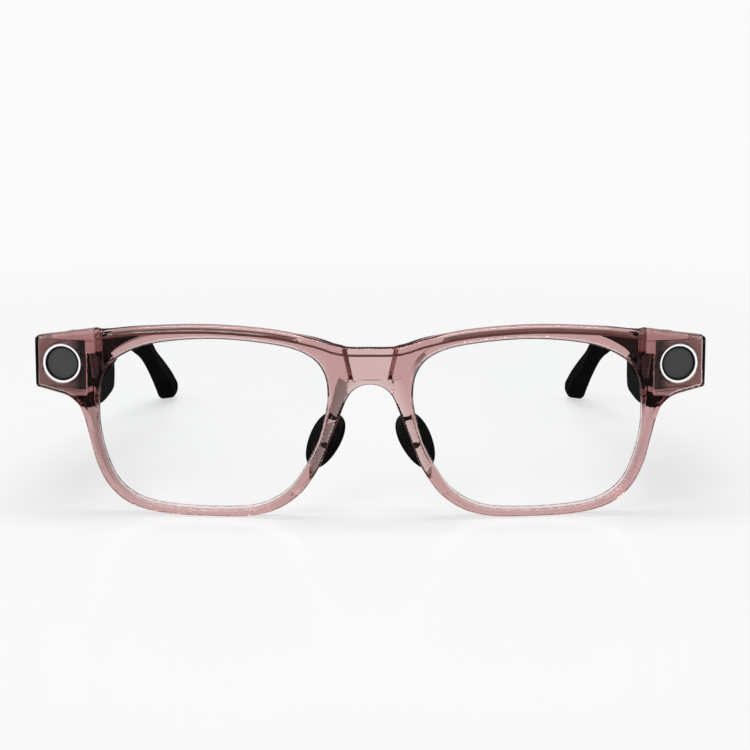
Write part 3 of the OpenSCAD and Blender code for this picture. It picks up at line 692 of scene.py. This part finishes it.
def temple_shell(p, outer):
    x, y, z = p.T
    solid = temple_solid(p)
    body = meet(meet(solid, TEMPLE_FRONT - y, 0.5), y - SHELL_END + 0.03, 0.35)
    if outer:
        lap = box_field(p, (HALF_WIDTH + 0.12, 12.2, 29.4), (HALF_WIDTH + 0.8, 19.0, 37.7), 0.25)
        body = join(body, lap, 0.3)
        body = meet(body, parting_x(y) + 0.04 - x, 0.18)
    else:
        body = meet(body, x - parting_x(y) + 0.04, 0.18)
    bay = np.maximum(solid + WALL, np.abs(y - 43.2) - 23.8)
    body = cut(body, bay, 0.0)
    body = cut(body, hinge_hole(p, 2.05, 4.9), 0.15)
    arm = box_field(p, (HINGE[0] - 2, 16, 32.3), (HINGE[0] + 4.5, 23, 35.5), 0.2)
    body = cut(body, arm, 0.1)
    room = 0.15
    well = box_field(p, (BUTTON_X[0] - room, BUTTON_Y[0] - room, 33.4),
                     (BUTTON_X[1] + room, BUTTON_Y[1] + room, 46), 0.5)
    return cut(body, well, 0.15)


def sound_slots(p):
    x = (outer_x(60.0) + inner_x(60.0)) / 2
    slots = [box_field(p, (x - 1.5, 55.5 + 1.8 * i, 15), (x + 1.2, 56.3 + 1.8 * i, 24.5), 0.3)
             for i in range(5)]
    return np.minimum.reduce(slots)


def microphone_holes(p):
    holes = [np.maximum(np.hypot(p[:, 1] - y - 1.3, p[:, 2] - (33.5 - (y - 36) * 0.14)) - 0.45,
                        np.abs(p[:, 0] - inner_x(y)) - 2.5) for y in (37.0, 42.8)]
    return np.minimum.reduce(holes)


def inner_shell_field(right):
    def field(p):
        body = temple_shell(p, False)
        body = cut(body, sound_slots(p), 0.1)
        body = cut(body, microphone_holes(p), 0.1)
        if right:
            for (y, z), (half_y, half_z) in (((31.5, 30.0), (3.2, 1.2)), ((49.0, 28.5), (4.6, 1.9))):
                hole = box_field(p, (HALF_WIDTH - 15, y - half_y, z - half_z),
                                 (HALF_WIDTH - 9, y + half_y, z + half_z), 0.5)
                body = cut(body, hole, 0.15)
        return body
    return field


def make_temple(name, side, mats):
    body = f"temple_{name}_body"
    low, high = (57, 11.4, 16), (76.2, 105, 41.5)
    shells = (("outer", lambda p: temple_shell(p, True), (65, 11.4, 16)),
              ("inner", inner_shell_field(name == "right"), low))
    for part, field, start in shells:
        obj = add_surface(f"temple_{part}_shell_{name}", field, start, high, 0.4, side)
        place(obj, body, "temple_black", mats["temple"], f"temple_{part}_shell_{name}")
    obj = add_surface(f"temple_tip_{name}", tip_field, (50, 103.2, -0.8), (67, 144.6, 28), 0.35, side)
    place(obj, body, "tip_rubber", mats["tip"], f"temple_tip_{name}")


def tip_field(p):
    """The tip's section leans, foot towards the head, and stands flat on the table."""
    x, y, z = p.T
    lean = np.radians(tip_lean(y))
    mx, mz = (outer_x(y) + inner_x(y)) / 2, (top_edge(y) + low_edge(y)) / 2
    a, b = (outer_x(y) - inner_x(y)) / 2, (top_edge(y) - low_edge(y)) / 2

    def mid(v):
        return (top_edge(v) + low_edge(v)) / 2
    across = (x - mx) * np.cos(lean) - (z - mz) * np.sin(lean)
    up = (x - mx) * np.sin(lean) + (z - mz) * np.cos(lean)
    d = meet(np.abs(across) - a, (np.abs(up) - b) * slope_factor(mid, y), 1.35)
    d = meet(d, SHELL_END + 0.06 - y, 0.35)
    d = meet(d, y - TIP_END, 1.2)
    return meet(d, -z, 0.4)


def make_button(name, side, body, material):
    """A top button that follows the temple's own top, with a soft edge and a shallow dish."""
    def field(p):
        cap = box_field(p, (BUTTON_X[0], BUTTON_Y[0], 34.4), (BUTTON_X[1], BUTTON_Y[1], 50), 0.45)
        dish = 0.12 * np.clip(1 - ((p[:, 1] - sum(BUTTON_Y) / 2) / 3.4) ** 2, 0, 1)
        cap = meet(cap, temple_solid(p) - 0.25 + dish, 0.35)
        flange = box_field(p, (BUTTON_X[0] - FLANGE, BUTTON_Y[0] - FLANGE, FLANGE_Z[0]),
                           (BUTTON_X[1] + FLANGE, BUTTON_Y[1] + FLANGE, FLANGE_Z[1]), 0.15)
        return np.minimum(cap, flange)
    obj = add_surface(name + "_cap", field, (66, 23.8, 33.4), (72.2, 34.2, 40.6), 0.25, side)
    place(obj, body, "gloss_black", material, name)


# ---------- materials ----------

class Nodes:
    """A short way to write a node material."""

    def __init__(self, name):
        self.material = bpy.data.materials.new(name)
        self.material.use_nodes = True
        self.tree = self.material.node_tree
        self.shader = self.tree.nodes["Principled BSDF"]
        self.output = self.tree.nodes["Material Output"]
        self.coords = self.tree.nodes.new("ShaderNodeTexCoord")

    def set(self, **values):
        for key, value in values.items():
            self.shader.inputs[key.replace("_", " ")].default_value = value
        return self

    def add(self, kind, links=(), **inputs):
        node = self.tree.nodes.new(kind)
        for key, value in inputs.items():
            node.inputs[key.replace("_", " ")].default_value = value
        for socket, source in links:
            self.tree.links.new(source, node.inputs[socket])
        return node

    def noise(self, scale, detail=3.0, stretch=(1, 1, 1)):
        mapping = self.add("ShaderNodeMapping", [("Vector", self.coords.outputs["Object"])])
        mapping.inputs["Scale"].default_value = stretch
        return self.add("ShaderNodeTexNoise", [("Vector", mapping.outputs["Vector"])],
                        Scale=scale, Detail=detail).outputs["Fac"]

    def ramp(self, source, low, high, where=(0.3, 0.7)):
        node = self.add("ShaderNodeValToRGB", [("Fac", source)])
        for stop, place_at, colour in zip(node.color_ramp.elements, where, (low, high)):
            stop.position = place_at
            stop.color = colour if len(colour) == 4 else (*colour, 1)
        return node.outputs["Color"]

    def remap(self, source, low, high):
        return self.add("ShaderNodeMapRange", [("Value", source)], To_Min=low, To_Max=high).outputs["Result"]

    def times(self, source, factor):
        node = self.add("ShaderNodeMath", [(0, source)])
        node.operation = "MULTIPLY"
        node.inputs[1].default_value = factor
        return node.outputs["Value"]

    def link(self, socket, source):
        self.tree.links.new(source, self.shader.inputs[socket])
        return self

    def bump(self, source, strength, distance):
        node = self.add("ShaderNodeBump", [("Height", source)], Strength=strength, Distance=distance)
        return self.link("Normal", node.outputs["Normal"])


def tinted_plastic():
    m = Nodes("rose_mauve_plastic").set(Transmission_Weight=1.0, IOR=1.49)
    streaks = m.noise(160, 4, (1, 1, 2.2))
    m.link("Base Color", m.ramp(streaks, (0.975, 0.96, 0.96), (0.995, 0.985, 0.985)))
    m.link("Roughness", m.remap(m.noise(900, 2), 0.0, 0.02))
    volume = m.tree.nodes.new("ShaderNodeVolumeAbsorption")
    volume.inputs["Color"].default_value = TINT
    volume.inputs["Density"].default_value = TINT_DENSITY
    m.tree.links.new(volume.outputs["Volume"], m.output.inputs["Volume"])
    return m.material


def clear_lens():
    """A lens with an anti-reflection coat: straight through, with a faint shine at a slant."""
    m = Nodes("clear_lens")
    through = m.add("ShaderNodeBsdfTransparent")
    tint = m.ramp(m.noise(40, 2), (0.985, 0.990, 0.990), (0.995, 0.997, 0.997))
    m.tree.links.new(tint, through.inputs["Color"])
    shine = m.add("ShaderNodeBsdfGlossy", Roughness=0.02)
    slant = m.add("ShaderNodeFresnel", IOR=1.5)
    mix = m.add("ShaderNodeMixShader",
                [(0, m.times(slant.outputs[0], 0.03)), (1, through.outputs[0]), (2, shine.outputs[0])])
    m.tree.links.new(mix.outputs[0], m.output.inputs["Surface"])
    return m.material


def plastic(name, dark, light, rough, grain=2500, depth=0.00002, strength=0.25, **extra):
    """Moulded plastic or rubber: mottled colour, uneven gloss and a fine surface grain."""
    m = Nodes(name).set(**extra)
    m.link("Base Color", m.ramp(m.noise(120, 4), dark, light))
    m.link("Roughness", m.remap(m.noise(350, 4), *rough))
    m.bump(m.noise(grain, 2), strength, depth)
    return m.material


def metal(name, colour, shade, rough):
    m = Nodes(name).set(Metallic=1.0)
    brushed = m.noise(900, 3, (1, 1, 14))
    m.link("Base Color", m.ramp(brushed, shade, colour))
    m.link("Roughness", m.remap(brushed, *rough))
    return m.bump(brushed, 0.15, 0.00001).material


def housing_plastic():
    """Grey rose on its face; painted shade makes it black towards the nose, and painted light makes it
    lighter along its top, tab and bottom.
    """
    m = Nodes("camera_housing_plastic_painted_light_and_shade")
    split = m.add("ShaderNodeSeparateXYZ", [("Vector", m.coords.outputs["Object"])])
    side = m.add("ShaderNodeMath", [(0, split.outputs["X"])])
    side.operation = "ABSOLUTE"

    def fade(source, low, high):
        return m.add("ShaderNodeMapRange", [("Value", source)], From_Min=low * MM,
                     From_Max=high * MM).outputs["Result"]

    def blend(factor, a, b):
        mix = m.tree.nodes.new("ShaderNodeMix")
        mix.data_type = "RGBA"
        m.tree.links.new(factor, mix.inputs["Factor"])
        for key, value in (("A", a), ("B", b)):
            if isinstance(value, tuple):
                mix.inputs[key].default_value = (*value, 1)
            else:
                m.tree.links.new(value, mix.inputs[key])
        return mix.outputs["Result"]
    grain = m.ramp(m.noise(260, 4), (0.40, 0.31, 0.31), (0.48, 0.38, 0.38))
    # painted shade: the face turns black towards the nose, standing in for the dark that the clear plastic in
    # front bends onto it
    colour = blend(fade(side.outputs["Value"], 64.4, 66.8), (0.003, 0.001, 0.001), grain)
    # painted light: a lighter rose for the face's top and the tab, standing in for light that the clear
    # plastic in front bends onto them
    painted_light_pale = m.ramp(m.noise(260, 4), (0.90, 0.68, 0.68), (0.97, 0.74, 0.74))
    # painted light: a lighter rose for the strip below the face, standing in for light that the clear plastic
    # in front bends onto it
    painted_light_under = m.ramp(m.noise(260, 4), (0.72, 0.58, 0.58), (0.80, 0.64, 0.64))
    colour = blend(fade(split.outputs["Z"], 28.1, 27.8), colour, painted_light_under)
    colour = blend(fade(split.outputs["Z"], FACE_TOP, FACE_TOP + 0.1), colour, painted_light_pale)
    # the tab's mask for the painted light
    tab = m.add("ShaderNodeMath", [(0, fade(side.outputs["Value"], 63.1, 63.0)),
                                   (1, fade(split.outputs["Z"], TAB_LOW - 0.1, TAB_LOW))])
    tab.operation = "MULTIPLY"
    m.link("Base Color", blend(tab.outputs[0], colour, painted_light_pale))
    m.link("Roughness", m.remap(m.noise(350, 4), 0.5, 0.65))
    return m.bump(m.noise(2500, 2), 0.2, 0.00002).material


def circuit_board():
    m = Nodes("circuit_board")
    cells = m.add("ShaderNodeTexVoronoi", [("Vector", m.coords.outputs["Object"])], Scale=900.0)
    m.link("Base Color",
           m.ramp(cells.outputs["Distance"], (0.10, 0.32, 0.20), (0.02, 0.10, 0.05), (0.1, 0.25)))
    m.link("Roughness", m.remap(m.noise(500, 2), 0.25, 0.45))
    return m.bump(cells.outputs["Distance"], 0.3, 0.00005).material


def make_materials():
    return {
        "front": tinted_plastic(),
        "lens": clear_lens(),
        # painted glow: a faint emission makes the white ring read pure white; the ring is not lit as a lamp
        "ring": plastic("white_ring_painted_glow", (0.86, 0.86, 0.86), (0.92, 0.92, 0.92), (0.3, 0.42),
                        Emission_Color=(1, 1, 1, 1), Emission_Strength=0.25),
        "gloss_black": plastic("gloss_black", (0.004, 0.004, 0.004), (0.008, 0.008, 0.008), (0.1, 0.2),
                               depth=0.00001, strength=0.08),
        "window": plastic("smoked_window", (0.060, 0.060, 0.060), (0.067, 0.067, 0.067), (0.32, 0.40),
                          depth=0.000005, strength=0.05),
        "housing": housing_plastic(),
        "black": plastic("black_plastic", (0.010, 0.010, 0.010), (0.018, 0.018, 0.018), (0.45, 0.6)),
        "temple": plastic("satin_black_plastic", (0.001, 0.001, 0.001), (0.0025, 0.0025, 0.0025),
                          (0.36, 0.48), Specular_IOR_Level=0.06),
        "tip": plastic("soft_black_rubber", (0.001, 0.001, 0.001), (0.003, 0.003, 0.003), (0.5, 0.65),
                       grain=1800, depth=0.00004, Specular_IOR_Level=0.08),
        "pad": plastic("matte_silicone", (0.002, 0.002, 0.002), (0.004, 0.004, 0.004), (0.45, 0.6),
                       grain=1400, depth=0.00003, Specular_IOR_Level=0.2),
        "steel": metal("machined_steel", (0.66, 0.66, 0.67), (0.52, 0.52, 0.54), (0.2, 0.34)),
        "gold": metal("gold_flash", (0.93, 0.72, 0.34), (0.82, 0.60, 0.26), (0.14, 0.24)),
        "flex": plastic("copper_brown_film", (0.20, 0.10, 0.09), (0.28, 0.15, 0.13), (0.3, 0.5)),
        "battery": plastic("battery_foil", (0.10, 0.10, 0.11), (0.16, 0.16, 0.17), (0.25, 0.45),
                           grain=700, depth=0.0001),
        "board": circuit_board(),
    }


def dress_nodes(mats):
    """Gives every CAD node that stays its own material."""
    by_slot = {
        "flex_film": "flex", "black_plastic": "black", "gloss_black": "gloss_black", "steel": "steel",
        "circuit_board": "board", "battery_wrap": "battery", "gold": "gold", "housing_grey": "housing",
        "tinted_front": "front", "lens": "lens", "pad_rubber": "pad", "ring_white": "ring",
        "window_glass": "window", "temple_black": "temple", "tip_rubber": "tip"}
    for part in frame["record"]["subparts"]:
        obj = bpy.data.objects[part["node"]]
        obj.data.materials.clear()
        obj.data.materials.append(mats[by_slot[part["material_slot"]]])


# ---------- stage ----------

def make_stage():
    m = Nodes("studio_floor")
    path = m.add("ShaderNodeLightPath")
    bent = path.outputs["Is Transmission Ray"]
    mirrored = m.add("ShaderNodeMath", [(0, path.outputs["Is Glossy Ray"]), (1, bent)])
    mirrored.operation = "SUBTRACT"
    # the studio is darker on the left, which shows in what the clear plastic bends
    where = m.add("ShaderNodeSeparateXYZ", [("Vector", m.coords.outputs["Object"])])
    left = m.add("ShaderNodeMapRange", [("Value", where.outputs["X"])], From_Min=-0.04, From_Max=-0.09,
                 To_Min=-0.06, To_Max=0.6)
    shade = m.add("ShaderNodeMath", [(0, left.outputs["Result"]), (1, bent)])
    shade.operation = "MULTIPLY"
    keep = m.add("ShaderNodeMath", [(1, shade.outputs[0])])
    keep.operation = "SUBTRACT"
    keep.inputs[0].default_value = 1.0
    diffuse = m.add("ShaderNodeBsdfDiffuse")
    m.tree.links.new(m.ramp(m.noise(3, 2), (0.30, 0.30, 0.30), (0.31, 0.31, 0.31)), diffuse.inputs["Color"])
    gloss = m.add("ShaderNodeBsdfGlossy", Roughness=0.17)
    glow = m.add("ShaderNodeEmission", [("Strength", m.times(keep.outputs[0], FLOOR_GLOW))])
    lit = m.tree.nodes.new("ShaderNodeAddShader")
    mix = m.add("ShaderNodeMixShader", Fac=0.12)
    m.tree.links.new(diffuse.outputs[0], lit.inputs[0])
    m.tree.links.new(glow.outputs[0], lit.inputs[1])
    m.tree.links.new(lit.outputs[0], mix.inputs[1])
    m.tree.links.new(gloss.outputs[0], mix.inputs[2])
    # the far floor runs into the white of the studio
    far = m.add("ShaderNodeEmission", [("Strength", m.times(keep.outputs[0], WHITE))])
    reach = m.add("ShaderNodeVectorMath", [(0, m.coords.outputs["Object"])])
    reach.operation = "LENGTH"
    away = m.add("ShaderNodeMapRange", [("Value", reach.outputs["Value"])], From_Min=0.13, From_Max=0.38)
    blend = m.add("ShaderNodeMixShader",
                  [(0, away.outputs["Result"]), (1, mix.outputs[0]), (2, far.outputs[0])])
    unlit = m.add("ShaderNodeEmission", Strength=0.0)
    hide = m.add("ShaderNodeMixShader", [(0, m.times(mirrored.outputs[0], 0.92)), (1, blend.outputs[0]),
                                         (2, unlit.outputs[0])])
    m.tree.links.new(hide.outputs[0], m.output.inputs["Surface"])
    half = 4000
    floor = add_mesh("studio_floor", [(-half, -half, 0), (half, -half, 0), (half, half, 0), (-half, half, 0)],
                     [(0, 1, 2, 3)])
    floor.data.materials.append(m.material)
    make_world()


def make_world():
    """A white studio to look at; what it gives back as reflections is dark but for its far ends."""
    world = bpy.data.worlds.new("studio")
    bpy.context.scene.world = world
    world.use_nodes = True
    tree = world.node_tree

    def add(kind, operation=None, **inputs):
        node = tree.nodes.new(kind)
        if operation:
            node.operation = operation
        for key, value in inputs.items():
            socket = node.inputs[int(key[1:])] if key[1:].isdigit() else node.inputs[key.replace("_", " ")]
            if hasattr(value, "links"):
                tree.links.new(value, socket)
            else:
                socket.default_value = value
        return node
    coords = add("ShaderNodeTexCoord")
    split = add("ShaderNodeSeparateXYZ", Vector=coords.outputs["Generated"])
    path = add("ShaderNodeLightPath")
    y, z = split.outputs["Y"], split.outputs["Z"]
    # only rays through clear plastic see the bright end walls
    either = add("ShaderNodeMath", "ABSOLUTE", _0=y)
    wall = add("ShaderNodeMath", "MULTIPLY", _0=either.outputs[0], _1=path.outputs["Is Transmission Ray"])
    end = add("ShaderNodeMapRange", Value=wall.outputs[0], From_Min=0.45, From_Max=0.75,
              To_Min=DARK_SIDE, To_Max=WHITE)
    top = add("ShaderNodeMapRange", Value=z, From_Min=0.55, From_Max=0.85, To_Min=0.0, To_Max=0.5)
    seen = add("ShaderNodeMath", "MAXIMUM", _0=end.outputs[0], _1=top.outputs[0])
    fill = add("ShaderNodeMix", Factor=path.outputs["Is Diffuse Ray"], _2=seen.outputs[0], _3=0.55)
    shown = add("ShaderNodeMix", Factor=path.outputs["Is Camera Ray"], _2=fill.outputs[0], _3=WHITE)
    back = tree.nodes["Background"]
    back.inputs["Color"].default_value = (1, 1, 1, 1)
    tree.links.new(shown.outputs[0], back.inputs["Strength"])


def soft_light(name, place_at, aim, size, power):
    lamp = bpy.data.lights.new(name, "AREA")
    lamp.shape = "RECTANGLE"
    lamp.size, lamp.size_y = size
    lamp.energy = power
    obj = bpy.data.objects.new(name, lamp)
    bpy.context.scene.collection.objects.link(obj)
    here, there = (np.array(v, float) for v in (place_at, aim))
    obj.location = here
    obj.rotation_euler = mathutils.Vector(there - here).to_track_quat("-Z", "Y").to_euler()


def make_camera():
    data = bpy.data.cameras.new("camera")
    data.sensor_width = 36.0
    data.lens = EYE_LENS
    data.clip_end = 100
    cam = bpy.data.objects.new("camera", data)
    cam.location = (EYE[0] * MM, (FRONT_Y + EYE[1]) * MM, EYE[2] * MM)
    cam.rotation_euler = (math.radians(90 - EYE_PITCH), 0, 0)
    bpy.context.scene.collection.objects.link(cam)
    bpy.context.scene.camera = cam


def main():
    mats = make_materials()
    dress_nodes(mats)
    make_camera()
    make_stage()
    soft_light("overhead", (0, 0.05, 0.75), (0, 0, 0.02), (0.6, 0.28), 3.5)
    soft_light("front", (-0.35, -0.95, 0.75), (0, 0, 0.02), (0.5, 0.5), 5.0)
    bpy.context.scene.view_settings.view_transform = "Standard"
    make_front(mats["front"])
    for name, side in SIDES:
        make_lens(f"lens_{name}", side, mats["lens"])
        make_windows(name, side, mats)
        make_housing(name, side, mats["housing"])
        make_nose_pad(name, side, mats["pad"])
        make_temple(name, side, mats)
    make_button("capture_button", -1.0, "capture_button_body", mats["gloss_black"])
    make_button("action_button", 1.0, "action_button_body", mats["gloss_black"])


main()
